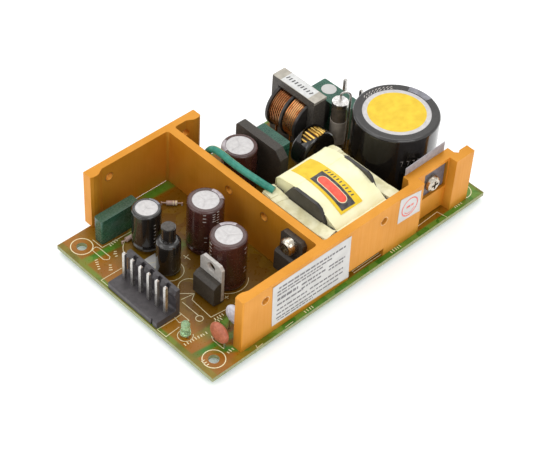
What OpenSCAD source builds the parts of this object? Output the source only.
// Open frame AC to DC power supply: a circuit board with a one-piece extruded heatsink standing on it.
// Millimetres. The origin is the centre of the four mounting holes, on the underside of the board.
// +X runs to the mains end, -X to the output end, +Z up.

/* [Board] */
// Length of the board
board_l = 127; // [126:0.5:130]
// Width of the board
board_w = 76.2; // [76:0.1:78]
// Thickness of the board
board_t = 1.6; // [1:0.1:2.4]
// Diameter of the mounting holes
hole_d = 3.6; // [3:0.1:4.5]
// Distance from a mounting hole's centre to the board's edges
hole_inset = 5.715; // [5.2:0.1:6.2]
// Length of lead left under the board
lead_out = 1.2; // [0.8:0.1:1.5]
// Gap round a lead in its hole
lead_gap = 0.1; // [0.05:0.05:0.2]

/* [Heatsink] */
// Height of the heatsink above the board
sink_h = 22.4; // [21.5:0.1:26]
// Thickness of the left wall
left_wall_t = 2.7; // [2:0.1:4]
// Gap between the board's edge and the left wall
left_wall_gap = 0.1; // [0:0.05:0.3]
// Thickness of the right wall
right_wall_t = 3.1; // [2.8:0.1:3.3]
// Strip of board left free outside the right wall
right_margin = 2; // [1.6:0.1:2.2]
// Thickness of the cross wall
cross_wall_t = 3; // [2.8:0.1:3.6]
// Thickening of the walls at their ends
end_pad_t = 1.5; // [0.8:0.1:1.6]
// Radius of the fillets between the walls
sink_fillet = 1; // [0.5:0.1:1.5]
// Depth of the outer recess near the mains end
recess_depth = 3.1; // [2.8:0.1:3.4]
// Thickness of the wall behind the recess
recess_wall_t = 3.7; // [3.4:0.1:4]
// Height of the notch in the right wall's foot
notch_h = 3.4; // [2:0.2:5]
// Length of the notch in the right wall's foot
notch_l = 16.6; // [12:0.2:20]
// Width of the pocket that holds the clamp plate
pocket_w = 11.5; // [10:0.1:12]
// Height of the pocket
pocket_h = 11.2; // [9:0.1:11.4]
// Depth of the pocket
pocket_depth = 2; // [1.5:0.1:2.4]
// Height of the tapped holes above the board
tap_z = 17; // [16:0.1:18]

/* [Fasteners] */
// Diameter of the package screws and of the tapped holes
screw_d = 3; // [2.5:0.1:3.2]
// Length of the package screws under the head
screw_l = 7; // [6.9:0.1:7.4]
// Diameter of a package screw's pan head
screw_head_d = 6; // [5:0.1:6.4]
// Height of a package screw's pan head
screw_head_h = 2.3; // [1.6:0.1:2.6]
// Thickness of the spring washer
washer_t = 0.8; // [0.5:0.1:0.9]
// Diameter of the screws that hold the heatsink from below
foot_screw_d = 2.2; // [2:0.1:2.4]
// Height of those screws' heads
foot_head_h = 1.8; // [1.6:0.1:2.4]
// Depth of those screws in the heatsink
foot_screw_depth = 5; // [4:0.5:8]

/* [Headers] */
// Distance between pins
pin_pitch = 3.96; // [3.5:0.02:4]
// Width of a square pin
pin_w = 1.14; // [0.9:0.02:1.2]
// Height of the pin tips above the board
pin_h = 14.3; // [12:0.1:16]
// Number of pins at the output
output_pins_n = 6; // [4:1:6]
// Height of the friction-lock wall
lock_h = 11.5; // [9:0.1:13]
// Height of the header's base
header_base_h = 2.6; // [2:0.1:3.5]

/* [Capacitors] */
// Diameter of the bulk capacitor
bulk_d = 30; // [25:0.5:30]
// Height of the bulk capacitor
bulk_h = 28; // [25:0.5:35]
// Diameter of the two output capacitors
output_cap_d = 12.5; // [10:0.1:12.5]
// Height of the two output capacitors
output_cap_h = 20; // [16:0.5:25]
// Diameter of the filter capacitor beside the film capacitor
filter_cap_d = 10; // [8:0.1:10]
// Height of the filter capacitor
filter_cap_h = 16; // [12:0.5:20]
// Distance from the board to the filter capacitor
filter_cap_lift = 1.9; // [0:0.1:3]
// Diameter of the supply capacitor beside the bridge rectifier
supply_cap_d = 12.4; // [10:0.1:12.6]
// Height of the supply capacitor
supply_cap_h = 20; // [16:0.5:25]
// Length of the class X capacitor
x_cap_l = 18; // [16:0.1:18]
// Width of the class X capacitor
x_cap_w = 8.5; // [7:0.1:8.5]
// Height of the class X capacitor
x_cap_h = 14.5; // [12:0.1:17]
// Length of the box capacitor behind the bridge rectifier
box_cap_l = 13.3; // [12:0.1:13.3]
// Width of the box capacitor
box_cap_w = 8; // [6:0.1:8]
// Height of the box capacitor
box_cap_h = 14; // [11:0.1:16]
// Length of the film capacitor by the left wall
film_cap_l = 16; // [13:0.1:17]
// Width of the film capacitor
film_cap_w = 4; // [3:0.1:4.6]
// Height of the film capacitor
film_cap_h = 10.3; // [9:0.1:12]

/* [Common mode choke] */
// Length of the ferrite frame
choke_l = 20.7; // [20.4:0.1:22]
// Height of the ferrite frame
choke_h = 24; // [23:0.1:26]
// Thickness of the ferrite frame
choke_t = 5.7; // [5:0.1:6]
// Width of the frame's limbs
choke_limb = 3; // [2.6:0.1:3.2]
// Height of the middle limb that carries the bobbin
choke_leg = 5; // [4:0.1:5.4]
// Diameter of the choke's wire
choke_wire_d = 0.8; // [0.5:0.05:1]
// Thickness of the bobbin's flanges
choke_flange_t = 1; // [0.8:0.1:1.2]

/* [Toroid choke] */
// Outer diameter of the wound toroid
toroid_d = 15; // [13:0.1:15.4]
// Inner diameter of the wound toroid
toroid_bore = 5; // [4:0.1:6]
// Width of the wound toroid along its axis
toroid_w = 6.4; // [5.4:0.1:6.6]
// Diameter of its wire
toroid_wire_d = 0.9; // [0.7:0.05:1]
// Thickness of its shrink sleeve
sleeve_t = 0.4; // [0.3:0.05:0.5]

/* [Transformer] */
// Length of the core over both halves
core_l = 33.8; // [33:0.1:34]
// Width of the core
core_w = 28.6; // [28:0.1:28.8]
// Thickness of the core
core_t = 11.4; // [10.6:0.1:12]
// Thickness of the core's backs
core_back = 4.5; // [4:0.1:5]
// Width of the core's outer legs
core_side = 3.4; // [3:0.1:3.8]
// Diameter of the core's round centre leg
core_leg_d = 9.9; // [9:0.1:10.5]
// Height of the core's upper face above the board
core_top = 20; // [19.4:0.1:20.6]
// Thickness of the tape band round the core
band_t = 0.3; // [0.2:0.05:0.4]
// Thickness of the bobbin's flanges
bobbin_flange_t = 1.2; // [0.9:0.1:1.4]
// Height of the bobbin's flanges above the board
bobbin_top = 26; // [25.5:0.1:27]

/* [Semiconductors] */
// Width of a TO-220 package
package_w = 10; // [9.6:0.1:10.2]
// Thickness of a TO-220 package with its tab
package_t = 4.4; // [4.2:0.1:4.6]
// Thickness of a TO-220 tab
tab_t = 1.3; // [1.1:0.1:1.4]
// Diameter of the hole in a TO-220 tab
tab_hole_d = 3.7; // [3.3:0.1:3.9]
// Width of the bridge rectifier
bridge_w = 22.1; // [21.5:0.1:22.3]
// Height of the bridge rectifier's body
bridge_h = 18.5; // [17:0.1:19.5]
// Thickness of the bridge rectifier
bridge_t = 3.6; // [3.3:0.1:3.7]
// Diameter of the indicator's lens
led_d = 3; // [2.8:0.1:3.4]
// Thickness of the insulator sheet
sheet_t = 0.25; // [0.2:0.05:0.35]

/* [Fuse and wire] */
// Diameter of the fuse's caps
fuse_d = 5.2; // [4.8:0.1:5.3]
// Length of the fuse
fuse_l = 20; // [18:0.5:22]
// Diameter of the sleeve round the fuse
fuse_sleeve_d = 5.7; // [5.5:0.1:6]
// Diameter of the earth wire over its insulation
earth_wire_d = 2.5; // [2:0.1:2.6]

/* [Hidden] */
$fn = 48;
nominal_l = 127;
nominal_w = 76.2;
top = board_t;
sink_top = top + sink_h;
X = [1, 0];
Y = [0, 1];

// Two points on a line through a place, and a list of them with one diameter
function pair(at, pitch, along) = [at - along * pitch / 2, at + along * pitch / 2];
function row_of(at, n, pitch, along) = [for (i = [0:n - 1]) at + along * pitch * (i - (n - 1) / 2)];
function sized(points, d) = [for (p = points) [p[0], p[1], d]];

// Walls of the heatsink: inner and outer faces
left_in = board_w / 2 + left_wall_gap;
left_out = left_in + left_wall_t;
left_front = -49.4;
left_rear = -1.35;
cross_back = -12.2;
cross_front = cross_back - cross_wall_t;
right_out = -board_w / 2 + right_margin;
right_in = right_out + right_wall_t;
right_front = -49.8;
right_pad = 0.56;
recess_front = 31.5;
recess_rear = 47.6;
recess_out = right_out + recess_depth;
recess_in = recess_out + recess_wall_t;
post_rear = 56.4;
post_in = right_out + 3.5;
notch_rear = 14.5;
recess_foot = 0.8;
pocket_x = 41.15;
pocket_z = top + 10;
left_taps = [-40.8, -7.4];
cross_taps = [7.7, -9];
right_taps = [-40.2, 13];

// Mounting holes and the screws under the heatsink's feet
hole_x = board_l / 2 - hole_inset;
hole_y = board_w / 2 - hole_inset;
cross_mid = (cross_front + cross_back) / 2;
foot_screws = [
    [right_front + 2, right_out + 1.9], [52, (right_out + post_in) / 2],
    [cross_mid, 30], [cross_mid, -12]
];
foot_head_d = 2 * foot_screw_d;

// Places on the board: centres of the parts that stand there
output_at = [-board_l / 2 + 5.8, 0.5];
input_at = [along(57.7), across(21.04)];
output_points = row_of(output_at, output_pins_n, pin_pitch, Y);
input_points = pair(input_at, 2 * pin_pitch, Y);
// In front of the cross wall, parts keep their share of the board's length, and some of its width
function along(x) = x * board_l / nominal_l;
function across(y) = y * board_w / nominal_w;
output_cap_a_at = [along(-26.15), 7.05];
output_cap_b_at = [along(-31.3), -9.6];
filter_cap_at = [along(-41.6), across(18.4)];
film_cap_at = [along(-44.3), left_in - 7.8];
rod_at = [along(-43.1), 5.9];
regulator_at = [along(-41.9), -11.8];
led_at = [output_at[0] - 0.3, -19.3];
disc_a_at = [along(-52), right_in + 4.6];
disc_b_at = [along(-45.7), right_in + 4.6];
axial_a_at = [along(-22.3), 27.9];
axial_b_at = [along(-43.4), across(24.6)];

// Behind it, they keep their distance from the right wall, and parts in a row keep the gaps between them
x_cap_at = [along(47.85), right_in + 53.9];
choke_at = [x_cap_at[0] - 14.1, right_in + 58.15];
fuse_at = [x_cap_at[0] - 7.05, right_in + 44.8];
bulk_at = [along(45.7), right_in + 23.5];
toroid_at = [along(27.5), right_in + 43.9];
chip_at = [toroid_at[0] - 12.2, right_in + 37.8];
bridge_at = [chip_at[0] - 6.25, right_in + 50.55];
supply_cap_at = [bridge_at[0] - 8.85, right_in + 52.2];
box_cap_at = [bridge_at[0] + 6.15, right_in + 53.35];
coupler_at = [along(-1.5), right_in + 37.5];
core_at = [cross_back + 19, right_in + 15.5];

// Lead spacings and diameters
snap_pitch = 10;
snap_lead_d = 1.5;
can_pitch = 5;
can_lead_d = 0.8;
box_lead_d = 0.8;
film_pitch = film_cap_l - 3;
box_pitch = box_cap_l - 3.3;
x_pitch = x_cap_l - 3;
leg_pitch = 2.54;
leg_w = 0.8;
leg_t = 0.5;
leg_hole_d = sqrt(leg_w * leg_w + leg_t * leg_t);
pin_hole_d = pin_w * sqrt(2);
thin_lead_d = 0.6;
chip_row = 7.62;

// Common mode choke
choke_window = choke_l - 2 * choke_limb;
choke_flange_r = choke_h / 2 - choke_limb - 0.2;
choke_hub_r = norm([choke_t, choke_leg]) / 2 + 0.5;
choke_coil_r = choke_flange_r - 0.6;
choke_axis_z = top + choke_h / 2;
choke_lead_x = choke_coil_r - 1.7;
choke_section = (choke_window - 0.2 - 3 * choke_flange_t) / 2;
choke_turns = floor((choke_section - 0.1) / choke_wire_d);
choke_coil_y = (choke_section + choke_flange_t) / 2;
choke_leads = [for (x = [-1, 1], y = [-1, 1]) choke_at + [x * choke_lead_x, y * choke_coil_y]];

// Toroid choke: its radius at the corners of the square turns
toroid_r = norm([toroid_d / 2, toroid_wire_d / 2]);
toroid_z = top + toroid_r + sleeve_t + 0.5;
toroid_turns = 16;
// The ends of the wire leave the turns on either side of the lowest two
toroid_lead_turn = 1.5 * 360 / toroid_turns;
toroid_lead_pitch = (toroid_d - toroid_wire_d) * sin(toroid_lead_turn);
toroid_lead_top = toroid_z - (toroid_d - toroid_wire_d) / 2 * cos(toroid_lead_turn);
toroid_leads = pair(toroid_at, toroid_lead_pitch, X);

// Fuse: the upper lead loops over and comes down outside the sleeve
fuse_lead_d = 0.7;
cap_l = 5;
fuse_z = top + 1.5;
fuse_loop_r = (fuse_sleeve_d / 2 + fuse_lead_d / 2 + 0.2) / 2;
fuse_loop_z = fuse_z + fuse_l + 2.6;
fuse_down_at = fuse_at + 2 * fuse_loop_r * [cos(45), -sin(45)];

// Transformer
core_z = top + core_top - core_t;
core_mid_z = core_z + core_t / 2;
core_window = core_l / 2 - core_back;
core_joint = 0.1;
coil_half = core_window - 0.2 - bobbin_flange_t;
coil_r = 30;
coil_crown_z = top + 25.4;
coil_crown_y = 4.1;
bobbin_clear = 0.15;
bobbin_hub_r = core_leg_d / 2 + 1.1;
bobbin_half_w = 9.2;
bobbin_rail_w = core_w - 6;
core_pins_n = 5;
core_pin_pitch = 5;
core_pin_x = core_l / 2 - 2.2;
core_pin_points = [for (s = [-1, 1])
    each row_of(core_at + [s * core_pin_x, 0], core_pins_n, core_pin_pitch, Y)];

// Rod choke: ferrite rod, wound body and the sleeve's neck
rod_d = 4.2;
rod_h = 20;
rod_body_r = 4.15;
rod_neck_r = 2.4;
rod_lead_pitch = 6;

// Transistor on the cross wall and switch behind the recess, with their screws' centres
moulded_t = 4.5;
moulded_tab_t = 2;
rectifier_y = right_in + 9.2;
rectifier_x = cross_front - 2.4;
rectifier_leads = row_of([rectifier_x, rectifier_y], 3, leg_pitch, Y);
switch_x = 39.8;
switch_screw_z = top + 15.3;
switch_tab_y = recess_in + sheet_t;
plate_t = 1;
package_body_h = 9.2;
package_tab_h = 6.4;
package_hole_up = 3.6;
leg_back = 2.5;
switch_leads = row_of([switch_x, switch_tab_y + leg_back], 3, leg_pitch, X);
rectifier_lift = 4.5;
switch_lift = switch_screw_z - top - package_body_h - package_hole_up;
regulator_lift = 0.4;
regulator_back = regulator_at[0] + leg_back;
regulator_leads = row_of(regulator_at, 3, leg_pitch, Y);
bridge_leads = row_of(bridge_at, 4, 5.08, Y);
bridge_lift = 1.5;

// Small parts
led_lift = 1.2;
disc_a_d = 7.7;
disc_a_z = 4.6;
disc_b_d = 7.2;
disc_b_z = 8.2;
led_leads = pair(led_at, leg_pitch, Y);
disc_a_leads = pair(disc_a_at, 5, Y);
disc_b_leads = pair(disc_b_at, 4.4, Y);
axial_body_l = 3.8;
axial_body_d = 1.7;
axial_span = 7;
axial_a_along = [cos(-43), sin(-43)];
axial_a_leads = pair(axial_a_at, axial_span, axial_a_along);
axial_b_leads = pair(axial_b_at, axial_span, X);
chip_leads = [for (s = [-1, 1]) each row_of(chip_at + [s * chip_row / 2, 0], 4, leg_pitch, Y)];
coupler_leads = [for (s = [-1, 1]) each row_of(coupler_at + [s * chip_row / 2, 0], 2, leg_pitch, Y)];
rod_leads = pair(rod_at, rod_lead_pitch, Y);

// Every lead that passes through the board: x, y and the diameter that its hole has to clear
LEADS = concat(
    sized(output_points, pin_hole_d),
    sized(input_points, pin_hole_d),
    sized(pair(bulk_at, snap_pitch, X), snap_lead_d),
    sized(pair(output_cap_a_at, can_pitch, Y), can_lead_d),
    sized(pair(output_cap_b_at, can_pitch, Y), can_lead_d),
    sized(pair(filter_cap_at, can_pitch, Y), can_lead_d),
    sized(pair(supply_cap_at, can_pitch, Y), can_lead_d),
    sized(pair(film_cap_at, film_pitch, X), box_lead_d),
    sized(pair(box_cap_at, box_pitch, Y), box_lead_d),
    sized(pair(x_cap_at, x_pitch, Y), box_lead_d),
    sized(choke_leads, choke_wire_d),
    sized(toroid_leads, toroid_wire_d),
    sized([fuse_at, fuse_down_at], fuse_lead_d),
    sized(core_pin_points, can_lead_d),
    sized(rectifier_leads, leg_hole_d),
    sized(switch_leads, leg_hole_d),
    sized(regulator_leads, leg_hole_d),
    sized(bridge_leads, 1.1),
    sized(led_leads, thin_lead_d),
    sized(disc_a_leads, thin_lead_d),
    sized(disc_b_leads, thin_lead_d),
    sized(axial_a_leads, thin_lead_d),
    sized(axial_b_leads, thin_lead_d),
    sized(chip_leads, thin_lead_d),
    sized(coupler_leads, thin_lead_d),
    sized(rod_leads, can_lead_d)
);

// Route of the earth wire from the board to the transformer's core, in round numbers above the board
EARTH_ROUTE = [
    [-9.5, 58, 0], [-9.5, 58, 7], [-9.5, 58, 14], [-9.6, 57.3, 19], [-9.8, 54.5, 22.4], [-10, 50.5, 23.4],
    [-10.2, 46, 23.4], [-10.2, 41.5, 23.4], [-10, 37, 23.4], [-9.4, 33.5, 23], [-8.6, 30.4, 22.3],
    [-7.7, 27.4, 21.7]
];

// ---- Shared shapes ----

// A child placed on the board's upper face
module on_board(at, lift = 0) {
    translate([at[0], at[1], top + lift])
        children();
}

// A round lead from under the board up to a height
module round_lead(at, z, d) {
    translate([at[0], at[1], -lead_out])
        cylinder(h = z + lead_out, d = d);
}

// A flat leg from under the board up to a height, its width along Y
module flat_leg(at, z) {
    translate([at[0] - leg_t / 2, at[1] - leg_w / 2, -lead_out])
        cube([leg_t, leg_w, z + lead_out]);
}

// A flat outline with rounded corners
module rounded_rect(size, r) {
    square([size[0] - 2 * r, size[1]], center = true);
    square([size[0], size[1] - 2 * r], center = true);
    for (x = [-1, 1], y = [-1, 1])
        translate([x * (size[0] / 2 - r), y * (size[1] / 2 - r)])
            circle(r = r);
}

// The concave corner between two walls, filling the first quadrant
module fillet(r) {
    difference() {
        square(r);
        translate([r, r])
            circle(r = r);
    }
}

// An aluminium can in its sleeve: crimp groove near the foot, rolled rim, sunk top disc
module can(d, h, disc_d, groove_z = 2.2) {
    r = d / 2;
    rim = 0.9;
    rim_arc = [for (a = [0:18:90]) [r - rim + rim * cos(a), h - rim + rim * sin(a)]];
    foot = [[0, 0], [r - 0.5, 0], [r, 0.6], [r, groove_z - 0.7], [r - 0.35, groove_z], [r, groove_z + 0.7]];
    rotate_extrude()
        polygon(concat(foot, rim_arc, [[disc_d / 2, h], [disc_d / 2, h - 0.3], [0, h - 0.3]]));
}

// A can with two leads that pass through the board
module radial_capacitor(at, d, h, disc_d, pitch, along, lead_d, lift = 0) {
    on_board(at, lift)
        can(d, h, disc_d);
    for (p = pair(at, pitch, along))
        round_lead(p, top + lift + 1, lead_d);
}

// A potted box capacitor, its length along X, with two leads
module box_capacitor_shape(at, l, w, h, pitch, turn = 0) {
    along = [cos(turn), sin(turn)];
    on_board(at)
        rotate([0, 0, turn])
            linear_extrude(h)
                rounded_rect([l, w], 0.7);
    for (p = pair(at, pitch, along))
        round_lead(p, top + 1, box_lead_d);
}

// A square pin with bevelled ends
module square_pin(at, z0, z1, w) {
    side = [[-w / 2, z0 + w / 3], [-w / 4, z0], [w / 4, z0], [w / 2, z0 + w / 3],
        [w / 2, z1 - w / 2], [w / 6, z1], [-w / 6, z1], [-w / 2, z1 - w / 2]];
    translate([at[0], at[1], 0])
        intersection() {
            rotate([90, 0, 0])
                translate([0, 0, -w / 2])
                    linear_extrude(w)
                        polygon(side);
            rotate([90, 0, 90])
                translate([0, 0, -w / 2])
                    linear_extrude(w)
                        polygon(side);
        }
}

// A pin header with a friction-lock wall behind its pins; its pins stand at x = 0 and the wall on +X
module header_housing(places, pin_places) {
    length = places * pin_pitch;
    b = header_base_h;
    profile = [[-5.4, 0], [-5.4, b - 0.3], [-5, b], [2.3, b], [2.8, b + 0.8], [2.8, lock_h - 3.4],
        [2.2, lock_h - 1.9], [2.8, lock_h], [4.3, lock_h], [4.3, 0]];
    difference() {
        rotate([90, 0, 0])
            translate([0, 0, -length / 2])
                linear_extrude(length)
                    polygon(profile);
        for (y = pin_places)
            translate([-pin_w / 2, y - pin_w / 2, -1])
                cube([pin_w, pin_w, b + 2]);
        for (i = [0:places - 2])
            translate([2, pin_pitch * (i - (places - 2) / 2) - 0.8, lock_h - 2.6])
                cube([1.6, 1.6, 3]);
        translate([-6, -length / 2 + 2, -1])
            cube([1.1, 0.8, b + 2]);
    }
}

// A tapered solder cone round a lead under the board
module solder_joint(at, d) {
    translate([at[0], at[1], -0.9])
        difference() {
            cylinder(h = 0.9, r1 = d / 2 + 0.15, r2 = d / 2 + 0.7, $fn = 24);
            translate([0, 0, -1])
                cylinder(h = 3, d = d, $fn = 24);
        }
}

// A pan head screw with a cross recess: head on -Z, shank from z = 0 up
module pan_screw(d, l, head_d, head_h) {
    difference() {
        union() {
            translate([0, 0, -head_h * 0.2])
                cylinder(h = l + head_h * 0.2, d = d);
            translate([0, 0, -head_h])
                rotate_extrude()
                    polygon([[0, 0], [head_d * 0.36, 0], [head_d * 0.46, head_h * 0.22],
                        [head_d / 2, head_h * 0.6], [head_d / 2, head_h], [0, head_h]]);
        }
        for (a = [0, 90])
            rotate([0, 0, a])
                translate([-head_d * 0.28, -head_d * 0.07, -head_h - 1])
                    cube([head_d * 0.56, head_d * 0.14, 1 + head_h * 0.6]);
    }
}

// A TO-220 moulding without its tab, standing on its legs; its back is the plane x = 0 and it faces -X
module package_moulding(lift) {
    h = package_body_h;
    profile = [[0, 0], [-0.8, 0], [-package_t, 0.7], [-package_t, h - 1.2], [-package_t + 1.4, h], [0, h]];
    translate([0, package_w / 2, lift])
        rotate([90, 0, 0])
            linear_extrude(package_w)
                difference() {
                    polygon(profile);
                    translate([-tab_t, 0.8])
                        square([tab_t + 1, h]);
                }
}

// The metal tab of a TO-220 package, let into the back of its moulding
module package_tab(lift) {
    z0 = 0.8;
    z1 = package_body_h + package_tab_h;
    w = package_w / 2;
    outline = [[-w, z0], [w, z0], [w, z1 - 1.4], [w - 1.2, z1], [1.2 - w, z1], [-w, z1 - 1.4]];
    translate([-tab_t, 0, lift])
        rotate([90, 0, 90])
            linear_extrude(tab_t)
                difference() {
                    polygon(outline);
                    translate([0, package_body_h + package_hole_up])
                        circle(d = tab_hole_d);
                }
}

// A dual in-line package on the board, legs with it, its length along Y
module in_line_package(at, places, leads) {
    body_l = places * leg_pitch - 0.5;
    on_board(at, 0.5)
        difference() {
            translate([0, body_l / 2, 0])
                rotate([90, 0, 0])
                    linear_extrude(body_l)
                        polygon([[-3, 0], [3, 0], [3.2, 1.7], [3, 3.3], [-3, 3.3], [-3.2, 1.7]]);
            translate([0, body_l / 2, 2.6])
                cylinder(h = 2, d = 1.6);
        }
    for (p = leads) {
        round_lead(p, top + 2.4, thin_lead_d);
        side = sign(p[0] - at[0]);
        translate([p[0] - (side > 0 ? 1.3 : 0), p[1] - thin_lead_d / 2, top + 2])
            cube([1.3, thin_lead_d, 0.3]);
    }
}

// A tube swept along a list of points, as one closed surface with a flat ring at each point
function unit(v) = v / norm(v);
function tangent(points, i) =
    i == 0 ? unit(points[1] - points[0]) :
    i == len(points) - 1 ? unit(points[i] - points[i - 1]) :
    unit(unit(points[i + 1] - points[i]) + unit(points[i] - points[i - 1]));
module swept_tube(points, r, sides) {
    n = len(points);
    rings = [for (i = [0:n - 1], k = [0:sides - 1])
        let (t = tangent(points, i), u = unit(cross(t, [1, 0.1, 0])), v = cross(t, u), a = 360 * k / sides)
        points[i] + r * (cos(a) * u + sin(a) * v)];
    walls = [for (i = [0:n - 2], k = [0:sides - 1])
        let (m = (k + 1) % sides)
        [i * sides + k, i * sides + m, (i + 1) * sides + m, (i + 1) * sides + k]];
    first = [for (k = [0:sides - 1]) sides - 1 - k];
    last = [for (k = [0:sides - 1]) (n - 1) * sides + k];
    polyhedron(rings, concat([first], walls, [last]));
}

// ---- Board ----

module circuit_board() {
    color("olivedrab")
        linear_extrude(board_t)
            difference() {
                square([board_l, board_w], center = true);
                for (x = [-1, 1], y = [-1, 1])
                    translate([x * hole_x, y * hole_y])
                        circle(d = hole_d);
                for (p = LEADS)
                    translate([p[0], p[1]])
                        circle(d = p[2] + 2 * lead_gap, $fn = 16);
                for (p = foot_screws)
                    translate(p)
                        circle(d = foot_screw_d + 2 * lead_gap);
            }
}

module solder_joints() {
    color("silver")
        for (p = LEADS)
            solder_joint([p[0], p[1]], p[2]);
}

// ---- Heatsink ----

// Outline of a thickened wall end: distance from the end, and how far it stands out from the wall
END_PAD = [[0, 0.6], [1, 0.92], [2.2, 1], [3.4, 0.85], [4.4, 0.45], [5.6, 0]];
function end_pad(x, y, dx, dy) = [for (p = END_PAD) [x + dx * p[0], y + dy * end_pad_t * p[1]]];
function reversed(list) = [for (i = [1:len(list)]) list[len(list) - i]];

// Left wall with both ends thickened on its inner side
module left_wall_section() {
    polygon(concat([[left_front, left_out]], end_pad(left_front, left_in, 1, -1),
        reversed(end_pad(left_rear, left_in, -1, -1)), [[left_rear, left_out]]));
}

// Right wall: thickened front end, step inwards behind the recess, step back out to the end post
module right_wall_section() {
    step_x = recess_front - 3;
    back_x = post_rear - 6;
    corner = [for (a = [180:22.5:270]) [right_front + 0.6 + 0.6 * cos(a), right_out + 0.6 + 0.6 * sin(a)]];
    polygon(concat(corner, [
        [recess_front, right_out], [recess_front + 0.2, recess_out], [recess_rear - 0.2, recess_out],
        [recess_rear, right_out], [post_rear, right_out], [post_rear, post_in], [post_rear - 3.9, post_in],
        [post_rear - 4.8, post_in - 0.8], [back_x, post_in + 0.5], [back_x, recess_in], [step_x, recess_in],
        [step_x, right_in + 1.5], [step_x - 1.5, right_in]],
        reversed(end_pad(right_front, right_in, 0.9, right_pad))));
}

// The section of the extrusion seen from above
module heatsink_section() {
    left_wall_section();
    right_wall_section();
    translate([cross_front, right_in - 1])
        square([cross_wall_t, left_in - right_in + 2]);
    // fillets where the cross wall meets the side walls
    for (side = [-1, 1], end = [0, 1])
        translate([side < 0 ? cross_front : cross_back, end > 0 ? left_in : right_in])
            mirror([side < 0 ? 1 : 0, 0])
                mirror([0, end])
                    fillet(sink_fillet);
}

// A hole through a wall along Y or along X
module hole_along_y(x, y, z, d) {
    translate([x, y - 10, z])
        rotate([-90, 0, 0])
            cylinder(h = 20, d = d);
}

module hole_along_x(x, y, z, d) {
    translate([x - 6, y, z])
        rotate([0, 90, 0])
            cylinder(h = 12, d = d);
}

module heatsink() {
    color("darkorange")
        difference() {
            translate([0, 0, top])
                linear_extrude(sink_h)
                    heatsink_section();
            // notch in the right wall's foot and the raised foot of the recess wall
            translate([notch_rear - notch_l, right_out - 1, top - 1])
                cube([notch_l, right_wall_t + 2, notch_h + 1]);
            translate([recess_front - 0.5, right_out - 1, top - 1])
                cube([recess_rear - recess_front + 0.2, recess_depth + recess_wall_t + 2, recess_foot + 1]);
            // pocket for the clamp plate
            translate([pocket_x - pocket_w / 2, recess_out - 1, pocket_z])
                cube([pocket_w, pocket_depth + 1, pocket_h]);
            // tapped holes
            for (x = left_taps)
                hole_along_y(x, left_in, top + tap_z, screw_d);
            for (x = right_taps)
                hole_along_y(x, right_in, top + tap_z, screw_d);
            for (y = concat(cross_taps, [rectifier_y]))
                hole_along_x(cross_mid, y, top + tap_z, screw_d);
            translate([switch_x, recess_in + 1, switch_screw_z])
                rotate([90, 0, 0])
                    cylinder(h = recess_wall_t + 2, d = screw_d);
            // holes for the screws that come up through the board
            for (p = foot_screws)
                translate([p[0], p[1], top - 1])
                    cylinder(h = foot_screw_depth + 1, d = foot_screw_d);
            // relief in the end post's foot over the mounting hole
            translate([hole_x, -hole_y, top - 1])
                cylinder(h = 6, d = 6.8);
        }
}

module heatsink_screws() {
    color("silver")
        for (p = foot_screws)
            translate(p)
                pan_screw(foot_screw_d, board_t + foot_screw_depth - 0.4, foot_head_d, foot_head_h);
}

// ---- Headers ----

module output_header() {
    color("dimgray")
        on_board(output_at)
            header_housing(output_pins_n, [for (p = output_points) p[1] - output_at[1]]);
}

module output_pins() {
    color("silver")
        for (p = output_points)
            square_pin(p, -lead_out, top + pin_h, pin_w);
}

module input_header() {
    color("dimgray")
        on_board(input_at)
            mirror([1, 0, 0])
                header_housing(3, [-pin_pitch, pin_pitch]);
}

module input_pins() {
    color("silver")
        for (p = input_points)
            square_pin(p, -lead_out, top + pin_h, pin_w);
}

// ---- Capacitors ----

module bulk_capacitor() {
    color("black")
        radial_capacitor(bulk_at, bulk_d, bulk_h, bulk_d * 0.79, snap_pitch, X, snap_lead_d);
}

module output_capacitor_a() {
    color("saddlebrown")
        radial_capacitor(output_cap_a_at, output_cap_d, output_cap_h, 9, can_pitch, Y, can_lead_d);
}

module output_capacitor_b() {
    color("saddlebrown")
        radial_capacitor(output_cap_b_at, output_cap_d, output_cap_h, 9, can_pitch, Y, can_lead_d);
}

module filter_capacitor() {
    color("black")
        radial_capacitor(filter_cap_at, filter_cap_d, filter_cap_h, 7.5, can_pitch, Y, can_lead_d,
            filter_cap_lift);
}

module supply_capacitor() {
    color("saddlebrown")
        radial_capacitor(supply_cap_at, supply_cap_d, supply_cap_h, 9.5, can_pitch, Y, can_lead_d);
}

module film_capacitor() {
    color("seagreen")
        box_capacitor_shape(film_cap_at, film_cap_l, film_cap_w, film_cap_h, film_pitch);
}

module box_capacitor() {
    color("seagreen")
        box_capacitor_shape(box_cap_at, box_cap_l, box_cap_w, box_cap_h, box_pitch, 90);
}

module x_capacitor() {
    color("teal")
        box_capacitor_shape(x_cap_at, x_cap_l, x_cap_w, x_cap_h, x_pitch, 90);
}

// ---- Rod choke ----

module rod_choke_core() {
    color("gray")
        on_board(rod_at, 0.5)
            cylinder(h = rod_h - 0.5, d = rod_d);
}

module rod_choke_body() {
    shoulder = [for (a = [0:15:90]) [rod_body_r - 1.6 + 1.6 * cos(a), 12.6 + 1.6 * sin(a)]];
    color("black") {
        on_board(rod_at)
            rotate_extrude()
                polygon(concat([[rod_d / 2, 0.5], [rod_body_r - 0.6, 0.5], [rod_body_r, 1.1]], shoulder,
                    [[rod_neck_r, 14.8], [rod_neck_r, rod_h - 0.4], [rod_d / 2, rod_h - 0.4]]));
        for (p = rod_leads)
            round_lead(p, top + 1, can_lead_d);
    }
}

// ---- Common mode choke ----

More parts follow.
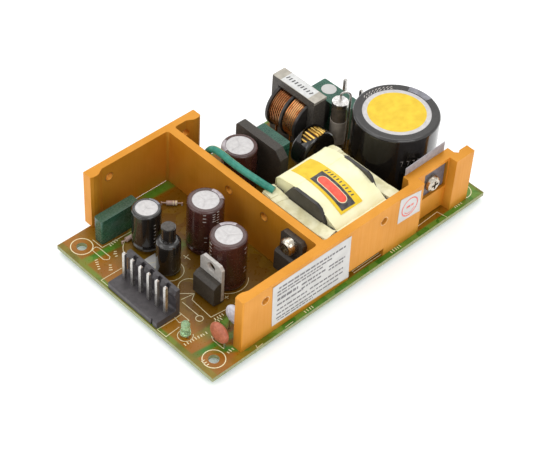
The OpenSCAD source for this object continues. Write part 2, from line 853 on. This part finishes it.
module choke_core() {
    color("dimgray")
        translate([choke_at[0] - choke_t / 2, choke_at[1], choke_axis_z])
            rotate([90, 0, 90])
                linear_extrude(choke_t)
                    difference() {
                        rounded_rect([choke_l, choke_h], 0.5);
                        for (s = [-1, 1]) {
                            window_h = (choke_h - choke_leg) / 2 - choke_limb;
                            translate([0, s * (choke_leg + window_h) / 2])
                                square([choke_window, window_h], center = true);
                        }
                    }
}

// Places of the three flanges along the bobbin's axis, as the near face of each
function choke_flange_y(i) = (i - 1) * (choke_section + choke_flange_t) - choke_flange_t / 2;

module choke_bobbin() {
    color("black")
        translate([choke_at[0], choke_at[1], choke_axis_z])
            difference() {
                rotate([-90, 0, 0])
                    union() {
                        translate([0, 0, -choke_window / 2 + 0.1])
                            cylinder(h = choke_window - 0.2, r = choke_hub_r);
                        for (i = [0:2])
                            translate([0, 0, choke_flange_y(i)])
                                cylinder(h = choke_flange_t, r = choke_flange_r);
                    }
                cube([choke_t + 0.1, choke_window + 2, choke_leg + 0.1], center = true);
            }
}

// Two coils side by side: their surface is a row of round turns; their ends go down to the board
module choke_windings() {
    w = choke_wire_d;
    span = choke_turns * w;
    color("peru")
        difference() {
            union() {
                for (s = [-1, 1])
                    translate([choke_at[0], choke_at[1] + s * choke_coil_y, choke_axis_z])
                        rotate([-90, 0, 0])
                            rotate_extrude() {
                                translate([choke_hub_r, -span / 2])
                                    square([choke_coil_r - choke_hub_r - w / 2, span]);
                                for (i = [0:choke_turns - 1])
                                    translate([choke_coil_r - w / 2, w * (i + 0.5) - span / 2])
                                        circle(d = w);
                            }
                for (p = choke_leads)
                    round_lead(p, choke_axis_z - choke_coil_r / 2, w);
            }
            translate([choke_at[0], choke_at[1], choke_axis_z])
                rotate([-90, 0, 0])
                    cylinder(h = 2 * choke_window, r = choke_hub_r, center = true);
        }
}

// ---- Toroid choke ----

module on_toroid() {
    translate([toroid_at[0], toroid_at[1], toroid_z])
        rotate([-90, 0, 0])
            children();
}

module toroid_core() {
    w = toroid_wire_d;
    color("dimgray")
        on_toroid()
            difference() {
                cylinder(h = toroid_w - 2 * w, d = toroid_d - 2 * w, center = true);
                cylinder(h = toroid_w, r = norm([toroid_bore / 2 + w, w / 2]), center = true);
            }
}

// Turns of wire round the ring's section, and the two ends that go down to the board
module toroid_winding() {
    w = toroid_wire_d;
    outer = toroid_d / 2;
    bore = toroid_bore / 2;
    color("gold") {
        on_toroid()
            for (i = [0:toroid_turns - 1])
                rotate([0, 0, 360 * (i + 0.5) / toroid_turns])
                    translate([0, w / 2, 0])
                        rotate([90, 0, 0])
                            linear_extrude(w)
                                difference() {
                                    translate([(outer + bore) / 2, 0])
                                        rounded_rect([outer - bore, toroid_w], w);
                                    translate([bore + w, w - toroid_w / 2])
                                        square([outer - bore - 2 * w, toroid_w - 2 * w]);
                                }
        for (p = toroid_leads)
            round_lead(p, toroid_lead_top, w);
    }
}

// Shrink sleeve over both faces and the rim, open along the rim at the top
module toroid_sleeve() {
    r = toroid_r + sleeve_t;
    half = toroid_w / 2 + sleeve_t;
    fold = 1.2;
    color("black")
        difference() {
            on_toroid()
                rotate_extrude()
                    difference() {
                        polygon([[0, -half], [r - fold, -half], [r - fold * 0.3, -half + fold * 0.3],
                            [r, -half + fold], [r, half - fold], [r - fold * 0.3, half - fold * 0.3],
                            [r - fold, half], [0, half]]);
                        translate([0, -toroid_w / 2])
                            square([toroid_r, toroid_w]);
                    }
            translate([toroid_at[0] - toroid_d * 0.47, toroid_at[1] - toroid_w / 2 + 1,
                    toroid_z + toroid_d * 0.19])
                cube([toroid_d * 0.94, toroid_w - 1.4, toroid_d]);
            for (p = toroid_leads)
                round_lead(p, toroid_lead_top, toroid_wire_d);
        }
}

// ---- Fuse ----

module fuse_tube() {
    color("lightcyan")
        translate([fuse_at[0], fuse_at[1], fuse_z + 0.4])
            difference() {
                cylinder(h = fuse_l - 0.8, d = fuse_d - 0.4);
                translate([0, 0, -1])
                    cylinder(h = fuse_l + 1, d = fuse_d - 1.8);
            }
}

module fuse_caps() {
    color("silver")
        translate([fuse_at[0], fuse_at[1], 0]) {
            for (s = [0, 1])
                translate([0, 0, fuse_z + s * (fuse_l - cap_l)])
                    difference() {
                        cylinder(h = cap_l, d = fuse_d);
                        translate([0, 0, s > 0 ? -0.4 : 0.4])
                            cylinder(h = cap_l, d = fuse_d - 0.4);
                    }
            translate([0, 0, -lead_out])
                cylinder(h = fuse_z + lead_out + 0.2, d = fuse_lead_d);
        }
}

module fuse_sleeve() {
    color("gray")
        translate([fuse_at[0], fuse_at[1], fuse_z])
            difference() {
                cylinder(h = fuse_l - 1, d = fuse_sleeve_d);
                translate([0, 0, -1])
                    cylinder(h = fuse_l + 1, d = fuse_d);
            }
}

// The upper lead: up from the cap, over in a half loop and down to the board
module fuse_lead() {
    color("silver")
        translate([fuse_at[0], fuse_at[1], 0])
            rotate([0, 0, -45]) {
                translate([0, 0, fuse_z + fuse_l])
                    cylinder(h = fuse_loop_z - fuse_z - fuse_l, d = fuse_lead_d);
                translate([fuse_loop_r, 0, fuse_loop_z])
                    rotate([90, 0, 0])
                        rotate_extrude(angle = 180)
                            translate([fuse_loop_r, 0])
                                circle(d = fuse_lead_d, $fn = 24);
                translate([2 * fuse_loop_r, 0, -lead_out])
                    cylinder(h = fuse_loop_z + lead_out, d = fuse_lead_d);
            }
}

// ---- Transformer ----

// Two halves with a joint between them: backs, outer legs and a round centre leg each
module transformer_core() {
    color("dimgray")
        translate([core_at[0], core_at[1], core_z])
            for (s = [-1, 1])
                difference() {
                    translate([s * (core_l / 4 + core_joint / 4), 0, core_t / 2])
                        cube([core_l / 2 - core_joint / 2, core_w, core_t], center = true);
                    difference() {
                        translate([0, 0, core_t / 2])
                            cube([2 * core_window, core_w - 2 * core_side, core_t + 2], center = true);
                        translate([0, 0, core_t / 2])
                            rotate([0, 90, 0])
                                cylinder(h = core_l, d = core_leg_d, center = true);
                    }
                }
}

// Outline of a bobbin flange in the plane across the winding, about the core's centre
module flange_outline() {
    w = bobbin_half_w;
    h = bobbin_top + top - core_mid_z;
    foot = 1 - core_mid_z + top;
    polygon([[-w, foot], [w, foot], [w, h - 5], [w - 2.6, h - 0.9], [w - 4.4, h],
        [4.4 - w, h], [2.6 - w, h - 0.9], [-w, h - 5]]);
}

module transformer_bobbin() {
    color("black")
        translate([core_at[0], core_at[1], core_mid_z])
            difference() {
                union() {
                    for (s = [-1, 1])
                        translate([s > 0 ? coil_half : -coil_half - bobbin_flange_t, 0, 0])
                            rotate([90, 0, 90])
                                linear_extrude(bobbin_flange_t)
                                    flange_outline();
                    rotate([0, 90, 0])
                        cylinder(h = 2 * coil_half + 1, r = bobbin_hub_r, center = true);
                    // rails that carry the pins, under the backs of the core
                    for (s = [-1, 1])
                        translate([s * (core_l / 2 + coil_half) / 2, 0,
                                (top - core_z - core_t - 0.3) / 2])
                            cube([core_l / 2 - coil_half, bobbin_rail_w, core_z - top - 0.3],
                                center = true);
                }
                rotate([0, 90, 0])
                    cylinder(h = core_l, d = core_leg_d + 2 * bobbin_clear, center = true);
                for (p = core_pin_points)
                    translate([p[0] - core_at[0], p[1] - core_at[1], -core_mid_z])
                        cylinder(h = top + 4, d = can_lead_d);
            }
}

// The winding under its outer tape: a broad arched block from leg to leg between the flanges
module transformer_winding() {
    color("lemonchiffon")
        difference() {
            translate([core_at[0] - coil_half, core_at[1], 0])
                rotate([90, 0, 90])
                    linear_extrude(2 * coil_half)
                        intersection() {
                            translate([-core_w / 2, top + 3])
                                square([core_w, 40]);
                            translate([coil_crown_y, coil_crown_z - coil_r])
                                circle(r = coil_r, $fn = 120);
                        }
            // the core's outer legs and the bobbin's hub pass through it
            for (s = [-1, 1])
                translate([core_at[0], core_at[1] + s * (core_w - core_side + 1) / 2, core_mid_z])
                    cube([core_l, core_side + 1, core_t], center = true);
            translate([core_at[0], core_at[1], core_mid_z])
                rotate([0, 90, 0])
                    cylinder(h = core_l, r = bobbin_hub_r, center = true);
        }
}

// Tape band round the core, folded over the top of both backs
module transformer_band() {
    l = core_l + 2 * band_t;
    w = core_w + 2 * band_t;
    color("cornsilk")
        translate([core_at[0], core_at[1], core_z])
            difference() {
                translate([-l / 2, -w / 2, 0.4])
                    cube([l, w, core_t + band_t - 0.4]);
                translate([-core_l / 2, -core_w / 2, -1])
                    cube([core_l, core_w, core_t + 1]);
                translate([-core_window, -core_w, core_t])
                    cube([2 * core_window, 2 * core_w, 5]);
            }
}

module transformer_pins() {
    color("silver")
        for (p = core_pin_points)
            round_lead(p, top + 4, can_lead_d);
}

module earth_wire() {
    color("limegreen")
        swept_tube([for (p = EARTH_ROUTE) p + [0, right_in, top]], earth_wire_d / 2, 8);
}

// ---- Semiconductors ----

module bridge_rectifier() {
    w = bridge_w / 2;
    h = bridge_h;
    color("black")
        translate([bridge_at[0] - bridge_t / 2, bridge_at[1], top + bridge_lift])
            rotate([90, 0, 90])
                linear_extrude(bridge_t)
                    polygon([[-w, 0], [w, 0], [w, h - 0.8], [w - 0.8, h], [2.8 - w, h], [-w, h - 3]]);
}

module bridge_legs() {
    color("silver")
        for (p = bridge_leads) {
            translate([p[0], p[1], -lead_out])
                cylinder(h = top + lead_out + 0.2, d = 1.1);
            translate([p[0] - 0.25, p[1] - 0.9, top + 0.2])
                cube([0.5, 1.8, bridge_lift - 0.2]);
        }
}

module regulator_body() {
    color("dimgray")
        translate([regulator_back, regulator_at[1], top])
            package_moulding(regulator_lift);
}

module regulator_tab() {
    color("silver")
        translate([regulator_back, regulator_at[1], top])
            package_tab(regulator_lift);
}

module regulator_legs() {
    color("silver")
        for (p = regulator_leads)
            flat_leg(p, top + regulator_lift);
}

// Fully moulded transistor screwed to the front of the cross wall
module rectifier_body() {
    z = top + rectifier_lift;
    z_step = top + 13;
    z_top = top + 20.2;
    x_body = cross_front - moulded_t;
    x_tab = cross_front - moulded_tab_t;
    color("black")
        difference() {
            translate([0, rectifier_y + package_w / 2, 0])
                rotate([90, 0, 0])
                    linear_extrude(package_w)
                        polygon([[cross_front, z], [x_body, z], [x_body, z_step - 0.8],
                            [x_body + 1, z_step], [x_tab, z_step], [x_tab, z_top],
                            [cross_front, z_top]]);
            hole_along_x(cross_front, rectifier_y, top + tap_z, screw_d);
            for (s = [-1, 1])
                translate([cross_front, rectifier_y + s * package_w / 2, z_top])
                    rotate([45, 0, 0])
                        cube([3 * moulded_t, 1.6, 1.6], center = true);
        }
}

module rectifier_legs() {
    color("silver")
        for (p = rectifier_leads)
            flat_leg(p, top + rectifier_lift);
}

module spring_washer() {
    x = cross_front - moulded_tab_t - washer_t;
    color("gray")
        translate([x, rectifier_y, top + tap_z])
            rotate([0, 90, 0])
                difference() {
                    cylinder(h = washer_t, d = screw_head_d - 0.2);
                    translate([0, 0, -1])
                        cylinder(h = washer_t + 2, d = screw_d);
                    translate([0, -0.2, -1])
                        cube([screw_head_d, 0.4, washer_t + 2]);
                }
}

// One screw holds the transistor to the cross wall, the other clamps the switch behind the recess
module package_screws() {
    color("silver") {
        translate([cross_front - moulded_tab_t - washer_t, rectifier_y, top + tap_z])
            rotate([0, 90, 0])
                pan_screw(screw_d, screw_l, screw_head_d, screw_head_h);
        translate([switch_x, recess_out + pocket_depth - plate_t, switch_screw_z])
            rotate([-90, 0, 0])
                pan_screw(screw_d, screw_l, screw_head_d, screw_head_h);
    }
}

module at_switch() {
    translate([switch_x, switch_tab_y, top])
        rotate([0, 0, -90])
            children();
}

module switch_body() {
    color("dimgray")
        at_switch()
            package_moulding(switch_lift);
}

module switch_tab() {
    color("silver")
        at_switch()
            package_tab(switch_lift);
}

module switch_legs() {
    color("silver")
        for (p = switch_leads)
            translate([p[0] - leg_w / 2, p[1] - leg_t / 2, -lead_out])
                cube([leg_w, leg_t, top + switch_lift + lead_out]);
}

module switch_nut() {
    color("silver")
        translate([switch_x, switch_tab_y + tab_t, switch_screw_z])
            rotate([-90, 0, 0])
                difference() {
                    cylinder(h = 2.3, d = 6.1, $fn = 6);
                    translate([0, 0, -1])
                        cylinder(h = 5, d = screw_d);
                }
}

module insulator_sheet() {
    x0 = recess_front - 2;
    x1 = recess_rear + 0.8;
    z0 = top + recess_foot;
    color("lightgray")
        difference() {
            translate([0, switch_tab_y, 0])
                rotate([90, 0, 0])
                    linear_extrude(sheet_t)
                        polygon([[x0, z0], [x1, z0], [x1, sink_top + 4], [x0, sink_top + 3]]);
            hole_along_y(switch_x, switch_tab_y, switch_screw_z, screw_d);
        }
}

module clamp_plate() {
    gap = 0.1;
    color("dimgray")
        difference() {
            translate([pocket_x - pocket_w / 2 + gap, recess_out + pocket_depth - plate_t, pocket_z + gap])
                cube([pocket_w - 2 * gap, plate_t, pocket_h - 2 * gap]);
            hole_along_y(switch_x, recess_out, switch_screw_z, screw_d);
        }
}

// ---- Small parts ----

module led_lens() {
    r = led_d / 2;
    dome = [for (a = [0:10:90]) [r * cos(a), 3.8 + r * sin(a)]];
    color("lime")
        on_board(led_at, led_lift)
            rotate_extrude()
                polygon(concat([[0, 0], [r + 0.3, 0], [r + 0.3, 1], [r, 1]], dome));
}

module led_legs() {
    color("silver")
        for (p = led_leads)
            round_lead(p, top + led_lift, thin_lead_d);
}

// A dipped disc: a lens with rounded rim, its faces towards X
module dipped_disc(at, z, d, t) {
    r = d / 2;
    rim = [for (a = [-90:15:90]) [r - t * 0.42 + t * 0.42 * cos(a), t * 0.42 * sin(a)]];
    translate([at[0], at[1], top + z])
        rotate([0, 90, 0])
            rotate_extrude()
                polygon(concat([[0, -t / 2], [r * 0.5, -t / 2]], rim, [[r * 0.5, t / 2], [0, t / 2]]));
}

module disc_capacitor_a() {
    color("salmon")
        dipped_disc(disc_a_at, disc_a_z, disc_a_d, 2.5);
}

module disc_capacitor_b() {
    color("lavender")
        dipped_disc(disc_b_at, disc_b_z, disc_b_d, 2.4);
}

// Each lead ends on the rim of its disc
module disc_legs() {
    color("silver")
        difference() {
            union() {
                for (p = disc_a_leads)
                    round_lead(p, top + disc_a_z, thin_lead_d);
                for (p = disc_b_leads)
                    round_lead(p, top + disc_b_z, thin_lead_d);
            }
            dipped_disc(disc_a_at, disc_a_z, disc_a_d, 2.5);
            dipped_disc(disc_b_at, disc_b_z, disc_b_d, 2.4);
        }
}

// Two small axial parts that lie on the board, leads bent down through it
module axial_part(at, turn, leads) {
    z = top + axial_body_d / 2;
    translate([at[0], at[1], z])
        rotate([0, 0, turn])
            rotate([0, 90, 0]) {
                cylinder(h = axial_body_l, d = axial_body_d, center = true);
                cylinder(h = axial_span, d = thin_lead_d - 0.1, center = true);
            }
    for (p = leads)
        round_lead(p, z + thin_lead_d / 2, thin_lead_d);
}

module axial_resistors() {
    color("mistyrose") {
        axial_part(axial_a_at, -43, axial_a_leads);
        axial_part(axial_b_at, 0, axial_b_leads);
    }
}

module control_chip() {
    color("black")
        in_line_package(chip_at, 4, chip_leads);
}

module optocoupler() {
    color("black")
        in_line_package(coupler_at, 2, coupler_leads);
}

circuit_board();
heatsink();
heatsink_screws();
solder_joints();
output_header();
output_pins();
input_header();
input_pins();
bulk_capacitor();
output_capacitor_a();
output_capacitor_b();
filter_capacitor();
supply_capacitor();
film_capacitor();
box_capacitor();
x_capacitor();
rod_choke_core();
rod_choke_body();
choke_core();
choke_bobbin();
choke_windings();
toroid_core();
toroid_winding();
toroid_sleeve();
fuse_tube();
fuse_caps();
fuse_sleeve();
fuse_lead();
transformer_core();
transformer_bobbin();
transformer_winding();
transformer_band();
transformer_pins();
earth_wire();
bridge_rectifier();
bridge_legs();
regulator_body();
regulator_tab();
regulator_legs();
rectifier_body();
rectifier_legs();
spring_washer();
package_screws();
switch_body();
switch_tab();
switch_legs();
switch_nut();
insulator_sheet();
clamp_plate();
led_lens();
led_legs();
disc_capacitor_a();
disc_capacitor_b();
disc_legs();
axial_resistors();
control_chip();
optocoupler();
